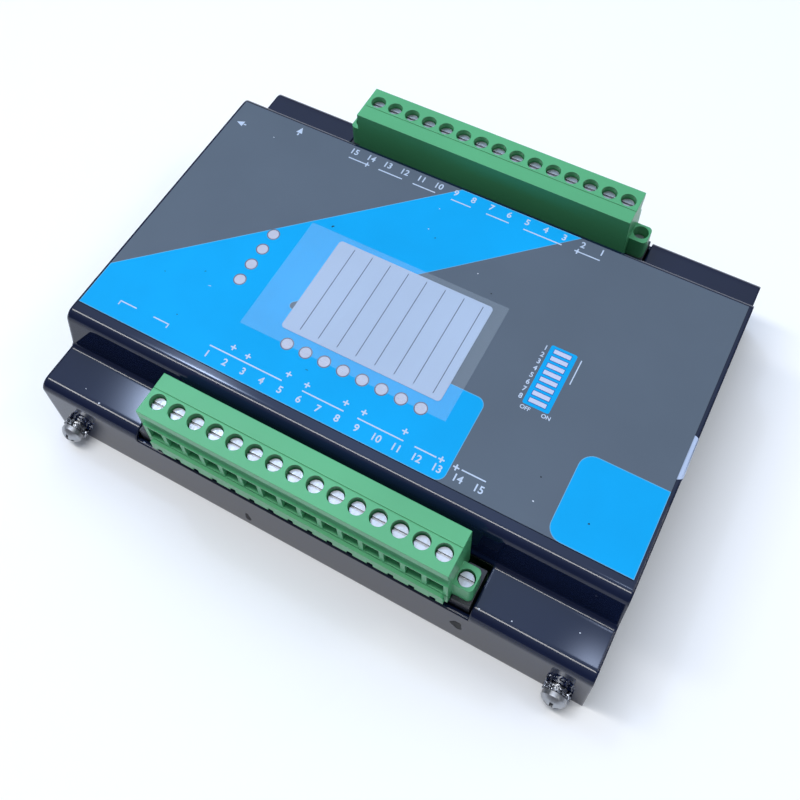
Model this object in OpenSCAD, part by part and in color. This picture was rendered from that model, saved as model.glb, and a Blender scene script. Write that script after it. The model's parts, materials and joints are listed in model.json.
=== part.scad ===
// Arc protection relay in a stepped sheet-steel case, with two pluggable terminal rows.
// X runs along the terminal rows, Y from the front row to the rear row, Z up.
// The origin is the middle of the underside.

/* [Case] */
// Length of the cover
case_l = 144.2; // [138:0.2:170]
// Depth of the cover from front wall to rear wall
case_d = 109.2; // [106:0.2:130]
// Height of the raised top
case_h = 32.2; // [31:0.1:40]
// Height of the two ledges
ledge_h = 20.8; // [19.5:0.1:22]
// How far each riser leans inwards between ledge and top
riser_lean = 2.25; // [1:0.05:4]
// Sheet thickness of the cover
cover_t = 1.2; // [0.8:0.1:1.4]
// Outside radius of the cover's long bends
bend_r = 2.8; // [2:0.1:3.2]
// Radius in the corner between ledge and riser
foot_r = 1.5; // [0.6:0.1:1.6]
// Sheet thickness of the base plate
base_t = 1.2; // [0.8:0.1:2]
// Corner radius of the base plate
base_r = 0.6; // [0.4:0.1:1]
// Gap between the cover's end walls and the base plate
base_gap = 0.2; // [0.1:0.05:0.4]
// Gap at the header's ends in its notch in the ledge
notch_gap = 0.6; // [0.4:0.1:1]
// How far that notch reaches behind the plug
notch_in = 1.2; // [0.6:0.1:1.3]
// Depth of that notch below the ledge
notch_drop = 3.3; // [3.2:0.1:3.8]

/* [Cover screws] */
// Distance of a cover screw from the end of the case
cover_screw_in = 6.1; // [5.2:0.1:8]
// Height of the cover screws
cover_screw_z = 4.5; // [4.2:0.1:5]
// Shank radius of a cover screw
cover_screw_r = 1.7; // [1.2:0.05:2]
// How far a cover screw's tip stands past its tab
cover_screw_past = 0.3; // [0.1:0.1:0.4]
// Clearance round screws in plain holes
screw_clearance = 0.2; // [0.1:0.05:0.25]
// Head radius
cover_head_r = 2.9; // [2.7:0.1:3.2]
// Head height
cover_head_h = 2.7; // [2.2:0.1:3]
// Height of the head's straight rim
cover_rim_h = 1.1; // [0.8:0.1:1.6]
// Width of the head's cross recess
cross_w = 0.8; // [0.5:0.1:1]
// Length of the cross recess
cross_l = 3.4; // [2.6:0.1:4]
// Depth of the cross recess
cross_depth = 1.6; // [1:0.1:1.8]
// Thickness of the toothed lock washer
washer_t = 1.8; // [0.8:0.1:2]
// Radius over the washer's teeth
washer_r = 3.3; // [3:0.1:3.6]
// Radius between the washer's teeth
washer_root_r = 2.6; // [2.4:0.1:2.8]
// Teeth on the washer
washer_teeth = 10; // [6:1:14]
// Width of the upturned tab that takes a cover screw
tab_w = 10; // [9:0.5:10]
// Height of that tab above the underside
tab_h = 8.6; // [8:0.1:10]

/* [Circuit board] */
// Free height under the circuit board
standoff_h = 4.7; // [4:0.1:6]
// Thickness of the circuit board
board_t = 1.6; // [1:0.1:2]
// Gap between the board and the tabs or end walls
board_gap = 0.9; // [0.7:0.1:1.5]
// Standoff distance from the board's end
standoff_in_x = 9; // [8:0.5:12]
// Standoff distance from the board's long edge
standoff_in_y = 9; // [8:0.5:11]
// Standoff size across flats
standoff_af = 5.5; // [5:0.1:6]
// Radius of the standoff's clinched end in the base plate
clinch_r = 2.2; // [2:0.05:2.4]
// Board screw shank radius
board_screw_r = 1.45; // [1.2:0.05:1.6]
// Board screw head radius
board_head_r = 2.8; // [2.4:0.1:3]
// Board screw head height
board_head_h = 1.8; // [1.2:0.1:2.4]
// Board screw length below its head
board_screw_l = 5; // [4:0.1:5.6]

/* [Terminal rows] */
// Poles in each row
poles = 15; // [6:1:15]
// Distance between poles
pitch = 5.08; // [5:0.01:5.2]
// Shift of the front row along the case
front_row_x = 0; // [-4:0.1:4]
// Shift of the rear row along the case
rear_row_x = -0.5; // [-4:0.1:4]
// Gap between the plug's face and the plane of the case wall
plug_front_gap = 0.4; // [0.2:0.1:1]
// Gap between the plug and the riser's foot
plug_back_gap = 1.7; // [1.4:0.1:3]

/* [Plug] */
// Reach of the plug from its pin row to the wire side
plug_out = 5.5; // [5.4:0.05:6]
// Reach of the plug from its pin row to the riser side
plug_in = 5.15; // [4.8:0.05:6]
// Height of the plug above the header
plug_h = 18.5; // [18.2:0.1:21]
// Height of the plug's overhang above the header
plug_lift = 1.4; // [1:0.1:2]
// Extra length beyond the end poles' cells
plug_end = 0.45; // [0.4:0.05:1]
// Distance of the clamp screws from the pin row, towards the wires
screw_out = 1.4; // [1.3:0.05:1.5]
// Radius of the screw holes in the plug's top
screw_hole_r = 1.95; // [1.9:0.05:2]
// Depth of the screw seat below the plug's top
screw_seat = 3.8; // [3.5:0.1:4.2]
// Height of the straight lip above the cove
cove_lip = 2.4; // [1.6:0.1:2.6]
// Height of the cove along the wire side
cove_h = 4.4; // [4:0.1:4.6]
// Depth of the cove
cove_depth = 1.2; // [0.8:0.1:1.4]
// Height of the wire openings' sill above the header
wire_sill = 6.2; // [6:0.1:6.3]
// Height of a wire opening
wire_h = 5; // [4.4:0.1:5]
// Width of a wire opening
wire_w = 3.9; // [3:0.1:4]
// Width of the fine groove under the wire openings
sill_groove = 0.4; // [0.2:0.05:0.6]
// Depth of that groove
sill_groove_depth = 0.6; // [0.3:0.1:1]
// Plain height between the groove and the openings
sill_band = 0.5; // [0.3:0.1:0.7]
// How far the lip under that groove stands out
lip_out = 0.8; // [0.4:0.1:1]
// How far the lip is shorter than the plug at each end
lip_in = 0.7; // [0.4:0.1:1.2]
// Radius on the lip's upper end corners
lip_r = 0.8; // [0.4:0.1:1.2]
// Width of the small notch under each pole
lip_notch_w = 1.5; // [1:0.1:2]
// Height of the small notch under each pole
lip_notch_h = 1.3; // [0.8:0.1:1.8]
// Depth of the small notch under each pole
lip_notch_depth = 1.2; // [0.8:0.1:1.4]
// Sideways place of the notch from the pole
lip_notch_x = 0.2; // [0:0.1:1]
// Distance of the seam line on the plug's top from the pin row
seam_in = 1.1; // [1:0.05:1.4]
// Width and depth of the seam line
seam_w = 0.2; // [0.15:0.05:0.4]
// Height of the screw ears
ear_h = 6.6; // [6.2:0.1:7]
// Reach of an ear from its screw towards the riser
ear_in = 3; // [2.4:0.1:3.2]
// Reach of an ear from its screw towards the wires
ear_out = 2.5; // [2.4:0.1:2.8]
// Reach of an ear beyond its screw
ear_end = 2.35; // [2.2:0.05:2.5]
// Corner radius of the ears
ear_r = 1.2; // [0.5:0.1:1.4]
// Radius of the screw recess in an ear
ear_hole_r = 1.95; // [1.9:0.05:2]

/* [Clamps] */
// Clamp screw head radius
clamp_head_r = 1.72; // [1.6:0.02:1.76]
// Clamp screw head height
clamp_head_h = 2.2; // [1.8:0.1:2.6]
// Width of the driver slots
slot_w = 0.55; // [0.4:0.05:0.8]
// Depth of the driver slots
slot_depth = 0.8; // [0.5:0.1:1]
// Clamp screw shank radius
clamp_screw_r = 1.2; // [1:0.05:1.3]
// Width of a clamp cage
cage_w = 3.8; // [3.6:0.05:4]
// Depth of a clamp cage along the wire
cage_d = 3.6; // [3.2:0.1:3.8]
// Height of a clamp cage
cage_h = 6.4; // [6.2:0.1:6.6]
// Wall of a clamp cage
cage_wall = 0.65; // [0.5:0.05:0.7]
// Gap between a clamp cage and its cell
cage_gap = 0.15; // [0.1:0.05:0.2]
// Thickness of the contact strip
contact_t = 0.6; // [0.4:0.05:0.7]
// Width of the contact strip
contact_w = 2.3; // [1.8:0.1:2.4]
// Gap between a contact and its cell, or the header pin
contact_gap = 0.15; // [0.1:0.05:0.2]
// Flange screw shank radius
flange_screw_r = 1.25; // [1:0.05:1.3]
// Flange screw head radius
flange_head_r = 1.7; // [1.6:0.02:1.76]
// Flange screw head height
flange_head_h = 1.8; // [1.4:0.1:2]
// Depth of the flange screw's seat below the ear's top
flange_seat = 5; // [4.4:0.1:5.2]
// Length of the flange screw below its seat
flange_screw_l = 9; // [8:0.5:10]
// Distance of the flange screws from the pin row, towards the wires
flange_out = 1; // [0.6:0.1:1.2]
// How far the front flange screws stand off their seats
front_screw_lift = 2.2; // [0:0.1:2.4]

/* [Header] */
// Height of the header on the board
header_h = 12; // [11.5:0.1:13]
// Depth of the header
header_d = 8.8; // [8.4:0.1:8.8]
// Wall of the header
header_wall = 1; // [0.8:0.05:1.1]
// Floor of the header
header_floor = 2; // [1.4:0.1:2.4]
// Height of the header's end blocks above its rim
header_step = 2; // [1:0.1:2.2]
// Gap between an end block and the plug's end
header_step_gap = 0.3; // [0.2:0.05:0.4]
// Reach of the header beyond its flange screws
header_end = 2.55; // [2.5:0.05:2.9]
// Floor of the plug's tongue under the contacts
tongue_floor = 0.7; // [0.5:0.05:1]
// Gap between the plug's tongue and the header's walls
tongue_gap = 0.12; // [0.1:0.02:0.2]
// Free height under the plug's tongue
tongue_lift = 0.8; // [0.5:0.1:1.2]
// How far the tongue is shorter than the plug at each end
tongue_in = 0.5; // [0.4:0.05:0.8]
// Width of a square header pin
pin_w = 1; // [0.8:0.05:1]
// Distance of a pin's tip below the header's rim
pin_tip = 1.5; // [1.2:0.1:3]
// Length of a pin's tail below the board
pin_tail = 2; // [1.5:0.1:2.6]
// Radius of the pin holes in the board
pin_hole_r = 0.8; // [0.75:0.05:0.9]
// Outside radius of the threaded inserts
insert_r = 1.9; // [1.8:0.05:2]
// Height of the threaded inserts
insert_h = 6; // [5:0.1:7]
// Running gap round the threads and in the insert's pocket
thread_gap = 0.06; // [0.04:0.01:0.1]

/* [Face panel] */
// Thickness of the printed panel
panel_t = 0.3; // [0.2:0.05:0.4]
// Bare strip between the panel and the left end
panel_left = 0.7; // [0.5:0.1:3]
// Bare strip between the panel and the right end
panel_right = 1.05; // [0.5:0.05:3]
// Bare strip between the panel and the top's front corner
panel_front = 4.2; // [2:0.1:6]
// Bare strip between the panel and the top's rear corner
panel_rear = 1.7; // [1.6:0.1:4]
// Width of the white marking card
card_w = 42.4; // [30:0.2:44]
// Depth of the white marking card
card_d = 28; // [20:0.2:29]
// Corner radius of the card
card_r = 1; // [0.5:0.1:2]
// Thickness of the card
card_t = 0.15; // [0.1:0.05:0.3]
// Middle of the card along the case
card_x = -3.1; // [-5:0.1:0]
// Middle of the card across the case
card_y = -4.6; // [-6:0.1:-3]
// Thickness of the clear film over the card
film_t = 0.12; // [0.08:0.02:0.3]
// Film margin left of the card
film_left = 9.1; // [4:0.1:10]
// Film margin right of the card
film_right = 3.3; // [1:0.1:5]
// Film margin in front of the card
film_front = 3.6; // [1:0.1:5]
// Film margin behind the card
film_rear = 1.6; // [1:0.1:5]

/* [Indicators] */
// Distance between indicators
light_pitch = 5.06; // [4.8:0.02:5.4]
// Radius of a light guide
light_r = 1.5; // [1.2:0.05:1.6]
// Gap round a light guide
light_gap = 0.15; // [0.05:0.05:0.3]
// Radius of a light guide's collar under the cover
collar_r = 2.2; // [2:0.05:2.3]
// Height of that collar
collar_h = 1.4; // [1:0.1:2]
// Indicators in the column
column_lights = 4; // [1:1:4]
// Place of the column along the case
column_x = -40.25; // [-44:0.25:-38]
// Place of the column's rear light
column_y = 3.2; // [0:0.1:4]
// Indicators in the row
row_lights = 8; // [1:1:8]
// Place of the row's left light
row_x = -20.35; // [-24:0.05:-18]
// Place of the row across the case
row_y = -21.9; // [-24:0.1:-20]
// Width of an indicator lamp on the board
lamp_w = 3; // [2:0.1:3.4]
// Depth of an indicator lamp
lamp_d = 2; // [1:0.1:3]
// Height of an indicator lamp
lamp_h = 1.2; // [0.6:0.1:2]
// Gap between lamp and light guide
lamp_gap = 0.3; // [0.2:0.1:0.6]

/* [Code switch] */
// Switches in the row
switches = 8; // [2:1:8]
// Distance between switches
switch_pitch = 2.54; // [2.5:0.01:2.7]
// Middle of the switch row across the case
switch_y = 30.6; // [24:0.1:31]
// Housing height on the board
switch_h = 7; // [6.6:0.1:8]
// Housing depth from the end wall
switch_d = 5; // [4:0.1:5.4]
// Housing wall beyond the end switches
switch_end = 1.2; // [1:0.1:1.6]
// Gap between the housing and the end wall
switch_gap = 0.3; // [0.2:0.05:0.5]
// Margin of the window in the end wall round the sliders
window_margin = 0.7; // [0.4:0.1:1]
// Travel of a slider
slider_travel = 2; // [1.5:0.1:2.2]
// Width of a slider's grip
slider_w = 1.1; // [0.9:0.05:1.2]
// Height of a slider's grip
slider_h = 1.5; // [1:0.1:1.6]
// How far a grip stands out of the housing
slider_out = 0.6; // [0.2:0.1:0.9]
// Width of a slider's foot inside the housing
slider_foot_w = 1.7; // [1.5:0.05:1.8]
// Height of a slider's foot
slider_foot_h = 2.8; // [2.4:0.1:3]
// Thickness of a slider's foot
slider_foot_t = 1.2; // [0.8:0.1:1.6]
// Thickness of the housing's face over the sliders' feet
switch_face = 0.8; // [0.5:0.1:1.2]
// Gap round a slider
slider_gap = 0.1; // [0.06:0.02:0.15]

/* [Set button] */
// Gap between the button's switch and the end of the rear socket
button_clear = 5.71; // [3:0.01:8]
// Radius of the button
button_r = 1.7; // [1.4:0.05:1.8]
// How far the button lies below the wall's face
button_sunk = 0.2; // [0:0.1:0.6]
// Travel of the button
button_travel = 0.4; // [0.2:0.05:0.6]
// Gap round the button in the wall
button_hole_gap = 0.5; // [0.3:0.1:0.8]
// Running gap round the button in its switch
button_guide_gap = 0.08; // [0.05:0.01:0.1]
// Depth of the button inside its switch
button_seat = 1.6; // [1:0.1:2]
// Width of the switch body
button_body_w = 6; // [5.5:0.1:7]
// Depth of the switch body
button_body_d = 3.6; // [3.2:0.1:4]
// Height of the switch body
button_body_h = 6.5; // [6:0.1:8]
// Height of the button above the board
button_z = 3.6; // [3.2:0.1:4]

/* [Parts on the board] */
// Number of trip relays
relays = 5; // [1:1:5]
// Distance between trip relays
relay_pitch = 14; // [11:0.5:15]
// Left trip relay along the case
relay_x = -42; // [-44:0.5:-40]
// Middle of the relays across the case
relay_y = 23; // [21:0.5:25]
// Width of a relay
relay_w = 10; // [8:0.5:10.5]
// Depth of a relay
relay_d = 20; // [16:0.5:22]
// Height of a relay
relay_h = 15.5; // [12:0.5:18]
// Radius on a relay's upright edges
relay_r = 0.8; // [0.4:0.1:1.5]
// Middle of the power transformer along the case
transformer_x = 48; // [44:0.5:50]
// Middle of the power transformer across the case
transformer_y = 21; // [18:0.5:24]
// Width over the transformer's core
core_w = 20; // [16:0.5:22]
// Depth of the transformer's core
core_d = 6; // [4:0.5:8]
// Height of the transformer
core_h = 17; // [14:0.5:18]
// Thickness of the core's legs and yokes
core_leg = 3.4; // [2.5:0.1:4]
// Diameter over the winding
winding_dia = 13; // [10:0.5:14]
// Bobbin's foot height
bobbin_h = 2.5; // [1.5:0.1:3]
// Bobbin's foot depth
bobbin_d = 18; // [14:0.5:20]
// Capacitor radius
capacitor_r = 5; // [4:0.1:5.4]
// Capacitor height
capacitor_h = 18; // [12:0.5:20]
// Left capacitor along the case
capacitor_x = 42; // [38:0.5:44]
// Distance between the capacitors
capacitor_pitch = 12; // [11:0.5:13]
// Capacitors across the case
capacitor_y = -6; // [-9:0.5:-2]
// Number of capacitors
capacitors = 2; // [1:1:2]
// Processor chip width
chip_w = 14; // [10:0.5:16]
// Processor chip height
chip_h = 1.5; // [1:0.1:2]
// Chip lead width
lead_w = 0.4; // [0.3:0.05:0.5]
// Chip lead reach beyond the body
lead_l = 1; // [0.6:0.1:1.4]
// Chip lead pitch
lead_pitch = 0.9; // [0.8:0.1:1.2]
// Leads on each side of the chip
leads = 12; // [4:1:12]
// Chip middle along the case
chip_x = -8; // [-12:0.5:-4]
// Chip middle across the case
chip_y = -4; // [-6:0.5:-1]
// Number of input couplers
couplers = 6; // [1:1:6]
// Distance between couplers
coupler_pitch = 11; // [10:0.5:12]
// Coupler width
coupler_w = 8.6; // [6:0.2:9]
// Coupler depth
coupler_d = 6.4; // [5:0.2:7]
// Coupler height
coupler_h = 3.4; // [2.5:0.1:4.5]
// Couplers across the case
coupler_y = -35; // [-36:0.5:-33]

/* [Hidden] */
$fn = 48;
cut = 1;
arc_over = 0.001;
pie_over = 0.2;
slot_step = 67;
board_slot_turn = 30;
tooth_foot = 0.36;
tooth_tip = 0.22;
inset = cover_t + base_gap;
front = "front";
rear = "rear";
half_l = case_l / 2;
half_d = case_d / 2;

ledge_d = plug_front_gap + plug_out + plug_in + plug_back_gap;
foot_y = half_d - ledge_d;
top_y = foot_y - riser_lean;
riser_slope = riser_lean / (case_h - ledge_h);

board_bottom = base_t + standoff_h;
board_top = board_bottom + board_t;
board_l = case_l - 2 * (cover_t + board_gap);
tab_x = half_l - inset - 2 * base_r - tab_w / 2;
tab_y = half_d - cover_t;
cover_screw_l = washer_t + cover_t + base_t + cover_screw_past;
board_d = 2 * (tab_y - base_t - board_gap);
standoff_x = board_l / 2 - standoff_in_x;
standoff_y = board_d / 2 - standoff_in_y;

row_out = half_d - plug_front_gap - plug_out;
seat_z = board_top + header_h;
plug_top = seat_z + plug_h;
plug_l = poles * pitch + 2 * plug_end;
flange_x = (poles + 1) / 2 * pitch;
header_l = 2 * (flange_x + header_end);
tongue_l = plug_l - 2 * tongue_in;
tongue_d = header_d - 2 * header_wall - 2 * tongue_gap;
tongue_bottom = board_top + header_floor + tongue_lift;
notch_y = foot_y + plug_back_gap - notch_in;

sill_z = seat_z + wire_sill;
cage_z = sill_z - cage_wall - cage_gap;
cage_top = cage_z + cage_h;
cell_floor = cage_z - cage_gap;
cell_top = cage_top + cage_gap;
cell_w = cage_w + 2 * cage_gap;
strip_top = cage_top - cage_wall;
leg_in = pin_w / 2 + contact_gap;
leg_out = leg_in + contact_t;
cell_in = leg_out + contact_gap;
cage_y = screw_out;
cell_out = cage_y + cage_d / 2 + cage_gap;
fork_top = seat_z + plug_lift / 2;
contact_bottom = tongue_bottom + tongue_floor;
head_seat = plug_top - screw_seat;
cove_r = (pow(cove_h, 2) / 4 + pow(cove_depth, 2)) / (2 * cove_depth);
lip_z = seat_z + plug_lift;
groove_z = sill_z - sill_band - sill_groove;
ear_z = seat_z + header_step;
ear_top = ear_z + ear_h;
flange_seat_z = ear_top - flange_seat;

panel_top = case_h + panel_t;
panel_x0 = -half_l + panel_left;
panel_x1 = half_l - panel_right;
panel_y0 = -top_y + panel_front;
panel_y1 = top_y - panel_rear;
light_spots = concat(
    [for (i = [0 : column_lights - 1]) [column_x, column_y - i * light_pitch]],
    [for (i = [0 : row_lights - 1]) [row_x + i * light_pitch, row_y]]
);

switch_x = -half_l + cover_t + switch_gap;
switch_z = board_top + switch_h / 2;
slider_slot_h = slider_h + slider_travel + 2 * slider_gap;
foot_slot_h = slider_foot_h + slider_travel + 2 * slider_gap;
switch_l = (switches - 1) * switch_pitch + slider_foot_w + 2 * slider_gap + 2 * switch_end;
button_x = rear_row_x - header_l / 2 - button_clear - button_body_w / 2;
button_axis_z = board_top + button_z;
button_tip_y = half_d - button_sunk;
button_body_y = board_d / 2 - button_body_d;

// Shared shapes

function along(a, b) = (b - a) / norm(b - a);
function turn_half(a, p, c) = acos(along(p, a) * along(p, c)) / 2;
function arc_reach(a, p, c, r) = r / tan(turn_half(a, p, c));
function arc_start(a, p, c, r) = p + along(p, a) * arc_reach(a, p, c, r);
function arc_end(a, p, c, r) = p + along(p, c) * arc_reach(a, p, c, r);
function arc_middle(a, p, c, r) =
    p + along([0, 0], along(p, a) + along(p, c)) * r / sin(turn_half(a, p, c));
function turns_left(a, p, c) = (p - a)[0] * (c - p)[1] - (p - a)[1] * (c - p)[0] > 0;

// Pie slice of a circle about the middle, a little wider than the arc between two rim points
module pie(middle, r, from, to) {
    widen = pie_over * (from - to);
    intersection() {
        translate(middle) circle(r + arc_over);
        polygon([middle, middle + 2 * (from - middle + widen), middle + 2 * (to - middle - widen)]);
    }
}

// Outline drawn anticlockwise whose corners are true arcs; a radius of zero keeps a corner sharp
module rounded_outline(points, radii) {
    n = len(points);
    before = [for (i = [0 : n - 1]) points[(i + n - 1) % n]];
    after = [for (i = [0 : n - 1]) points[(i + 1) % n]];
    rounded = [for (i = [0 : n - 1]) if (radii[i] > 0) i];
    path = [
        for (i = [0 : n - 1])
            each radii[i] > 0
                ? [
                    arc_start(before[i], points[i], after[i], radii[i]),
                    arc_end(before[i], points[i], after[i], radii[i])
                ]
                : [points[i]]
    ];
    difference() {
        union() {
            polygon(path);
            for (i = rounded)
                if (turns_left(before[i], points[i], after[i]))
                    corner_pie(before[i], points[i], after[i], radii[i]);
        }
        for (i = rounded)
            if (!turns_left(before[i], points[i], after[i]))
                corner_pie(before[i], points[i], after[i], radii[i]);
    }
}

module corner_pie(a, p, c, r) {
    pie(arc_middle(a, p, c, r), r, arc_start(a, p, c, r), arc_end(a, p, c, r));
}

// Outline in Y and Z drawn out along X
module along_x(length) {
    rotate([90, 0, 90]) linear_extrude(length, center = true) children();
}

// Outline in X and Z drawn out along Y
module along_y(length) {
    rotate([90, 0, 0]) linear_extrude(length, center = true) children();
}

// Box centred on X and Y, between two heights
module block(w, d, z0, z1) {
    translate([-w / 2, -d / 2, z0]) cube([w, d, z1 - z0]);
}

// Row frame: pin row on the X axis, wire side towards +Y
module at_row(side) {
    x = side == front ? -front_row_x : rear_row_x;
    rotate(side == front ? 180 : 0) translate([x, row_out, 0]) children();
}

module at_poles() {
    for (i = [0 : poles - 1]) translate([(i - (poles - 1) / 2) * pitch, 0, 0]) children();
}

module at_flanges() {
    for (s = [-1, 1]) translate([s * flange_x, flange_out, 0]) children();
}

module at_corners(x, y) {
    for (sx = [-1, 1], sy = [-1, 1]) translate([sx * x, sy * y, 0]) children();
}

// Cover screw frame: Z points out of the case at the wall's face
module at_cover_screws() {
    for (sx = [-1, 1], sy = [-1, 1])
        translate([sx * (half_l - cover_screw_in), sy * half_d, cover_screw_z])
            rotate([-sy * 90, 0, 0])
                children();
}

// Slotted pan or cheese head with its shank, head up, seat at zero
module slotted_screw(head_r, head_h, shank_r, shank_l, turn) {
    difference() {
        union() {
            cylinder(h = head_h, r = head_r);
            translate([0, 0, -shank_l]) cylinder(h = shank_l + head_h / 2, r = shank_r);
        }
        rotate(turn) translate([-head_r - cut, -slot_w / 2, head_h - slot_depth])
            cube([2 * (head_r + cut), slot_w, slot_depth + cut]);
    }
}

// Case

function riser_y(z, i) = foot_y - riser_slope * (z - ledge_h) - i * sqrt(1 + pow(riser_slope, 2));

// Stepped section of the cover, moved inwards by i, down to the height bottom
function hat_points(i, bottom) = [
    [half_d - i, bottom],
    [half_d - i, ledge_h - i],
    [riser_y(ledge_h - i, i), ledge_h - i],
    [riser_y(case_h - i, i), case_h - i],
    [-riser_y(case_h - i, i), case_h - i],
    [-riser_y(ledge_h - i, i), ledge_h - i],
    [-half_d + i, ledge_h - i],
    [-half_d + i, bottom]
];

// Stepped block with rounded long bends, the cover's outside or, moved inwards, its inside
module stepped_block(i, bottom) {
    b = bend_r - i;
    f = foot_r + i;
    along_x(case_l - 2 * i)
        rounded_outline(hat_points(i, bottom), [0, b, f, b, b, f, b, 0]);
}

module cover() {
    color([0.06, 0.065, 0.09])
        difference() {
            stepped_block(0, 0);
            stepped_block(cover_t, -cut);
            for (side = [front, rear])
                at_row(side)
                    translate([-header_l / 2 - notch_gap, notch_y - row_out, ledge_h - notch_drop])
                        cube([header_l + 2 * notch_gap, half_d - notch_y + cut, notch_drop + foot_r + cut]);
            at_cover_screws()
                translate([0, 0, -cover_t - cut])
                    cylinder(h = cover_t + 2 * cut, r = cover_screw_r + screw_clearance);
            for (p = light_spots)
                translate([p[0], p[1], case_h - cover_t - cut])
                    cylinder(h = cover_t + 2 * cut, r = light_r + light_gap);
            translate([-half_l - cut, switch_y, switch_z])
                switch_window(cover_t + 2 * cut);
            translate([button_x, half_d + cut, button_axis_z])
                rotate([90, 0, 0])
                    cylinder(h = cover_t + 2 * cut, r = button_r + button_hole_gap);
        }
}

module switch_window(depth) {
    w = (switches - 1) * switch_pitch + slider_w + 2 * window_margin;
    h = slider_slot_h + 2 * window_margin;
    translate([0, -w / 2, -h / 2]) cube([depth, w, h]);
}

module base_plate() {
    color([0.1, 0.1, 0.12])
        difference() {
            union() {
                linear_extrude(base_t)
                    rounded_outline(base_points(), [base_r, base_r, base_r, base_r]);
                at_corners(tab_x, tab_y - base_t / 2) block(tab_w, base_t, 0, tab_h);
            }
            at_cover_screws()
                translate([0, 0, -cover_t - base_t - cut])
                    cylinder(h = base_t + 2 * cut, r = cover_screw_r + thread_gap);
            at_corners(standoff_x, standoff_y)
                translate([0, 0, -cut]) cylinder(h = base_t + 2 * cut, r = clinch_r + thread_gap);
        }
}

function base_points() = [
    [half_l - inset, -tab_y],
    [half_l - inset, tab_y],
    [-half_l + inset, tab_y],
    [-half_l + inset, -tab_y]
];

module cover_screws() {
    color([0.8, 0.82, 0.84])
        at_cover_screws()
            translate([0, 0, washer_t]) {
                difference() {
                    pan_head();
                    for (a = [0, 90])
                        rotate(a)
                            block(cross_l, cross_w, cover_head_h - cross_depth, cover_head_h + cut);
                }
                translate([0, 0, -cover_screw_l]) cylinder(h = cover_screw_l, r = cover_screw_r);
            }
}

// Low dome over a straight rim
module pan_head() {
    dome_h = cover_head_h - cover_rim_h;
    dome_r = (pow(cover_head_r, 2) + pow(dome_h, 2)) / (2 * dome_h);
    intersection() {
        cylinder(h = cover_head_h, r = cover_head_r);
        translate([0, 0, cover_head_h - dome_r]) sphere(dome_r);
    }
}

module lock_washers() {
    color([0.55, 0.57, 0.6])
        at_cover_screws()
            difference() {
                linear_extrude(washer_t) washer_star();
                translate([0, 0, -cut])
                    cylinder(h = washer_t + 2 * cut, r = cover_screw_r + screw_clearance);
            }
}

module washer_star() {
    step = 360 / washer_teeth;
    polygon([
        for (i = [0 : washer_teeth - 1])
            each [
                polar(washer_root_r, (i - tooth_foot) * step),
                polar(washer_r, (i - tooth_tip) * step),
                polar(washer_r, (i + tooth_tip) * step),
                polar(washer_root_r, (i + tooth_foot) * step)
            ]
    ]);
}

function polar(r, a) = [r * cos(a), r * sin(a)];

// Face

module face_panel() {
    color([0.36, 0.42, 0.5])
        difference() {
            translate([panel_x0, panel_y0, case_h])
                cube([panel_x1 - panel_x0, panel_y1 - panel_y0, panel_t]);
            for (p = light_spots)
                translate([p[0], p[1], case_h - cut])
                    cylinder(h = panel_t + 2 * cut, r = light_r + light_gap);
        }
}

module marking_card() {
    color([0.8, 0.84, 0.92])
        translate([card_x, card_y, panel_top])
            linear_extrude(card_t)
                rounded_outline(
                    [
                        [card_w / 2, -card_d / 2], [card_w / 2, card_d / 2],
                        [-card_w / 2, card_d / 2], [-card_w / 2, -card_d / 2]
                    ],
                    [card_r, card_r, card_r, card_r]
                );
}

module clear_film() {
    color([0.75, 0.85, 0.95, 0.4])
        difference() {
            translate([card_x - card_w / 2 - film_left, card_y - card_d / 2 - film_front, panel_top])
                cube([film_left + card_w + film_right, film_front + card_d + film_rear, card_t + film_t]);
            translate([card_x, card_y, 0]) block(card_w, card_d, panel_top - cut, panel_top + card_t);
        }
}

module light_guides() {
    color([0.85, 0.85, 0.88])
        for (p = light_spots)
            translate([p[0], p[1], 0]) {
                guide_z = board_top + lamp_h + lamp_gap;
                translate([0, 0, guide_z]) cylinder(h = panel_top - guide_z, r = light_r);
                translate([0, 0, case_h - cover_t - collar_h]) cylinder(h = collar_h, r = collar_r);
            }
}

module indicator_lamps() {
    color([0.95, 0.95, 0.85])
        for (p = light_spots)
            translate([p[0], p[1], 0]) block(lamp_w, lamp_d, board_top, board_top + lamp_h);
}

// Board and its fixing

module main_board() {
    color([0.1, 0.35, 0.2])
        difference() {
            block(board_l, board_d, board_bottom, board_top);
            for (side = [front, rear])
                at_row(side)
                    at_poles()
                        translate([0, 0, board_bottom - cut])
                            cylinder(h = board_t + 2 * cut, r = pin_hole_r);
            at_corners(standoff_x, standoff_y)
                translate([0, 0, board_bottom - cut])
                    cylinder(h = board_t + 2 * cut, r = board_screw_r + screw_clearance);
        }
}

module board_standoffs() {
    color([0.75, 0.65, 0.35])
        at_corners(standoff_x, standoff_y)
            difference() {
                union() {
                    translate([0, 0, base_t])
                        cylinder(h = standoff_h, r = standoff_af / sqrt(3), $fn = 6);
                    cylinder(h = base_t + standoff_h / 2, r = clinch_r);
                }
                translate([0, 0, base_t])
                    cylinder(h = standoff_h + cut, r = board_screw_r + thread_gap);
            }
}

module board_screws() {
    color([0.8, 0.82, 0.84])
        at_corners(standoff_x, standoff_y)
            translate([0, 0, board_top])
                slotted_screw(board_head_r, board_head_h, board_screw_r, board_screw_l, board_slot_turn);
}

// Terminal rows

// Header with a raised block at each end that carries a thread insert
module header_block() {
    block_x = plug_l / 2 + header_step_gap;
    block(header_l, header_d, board_top, seat_z);
    for (s = [-1, 1])
        translate([s * (block_x + header_l / 2) / 2, 0, 0])
            block(header_l / 2 - block_x, header_d, board_top, ear_z);
}

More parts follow.
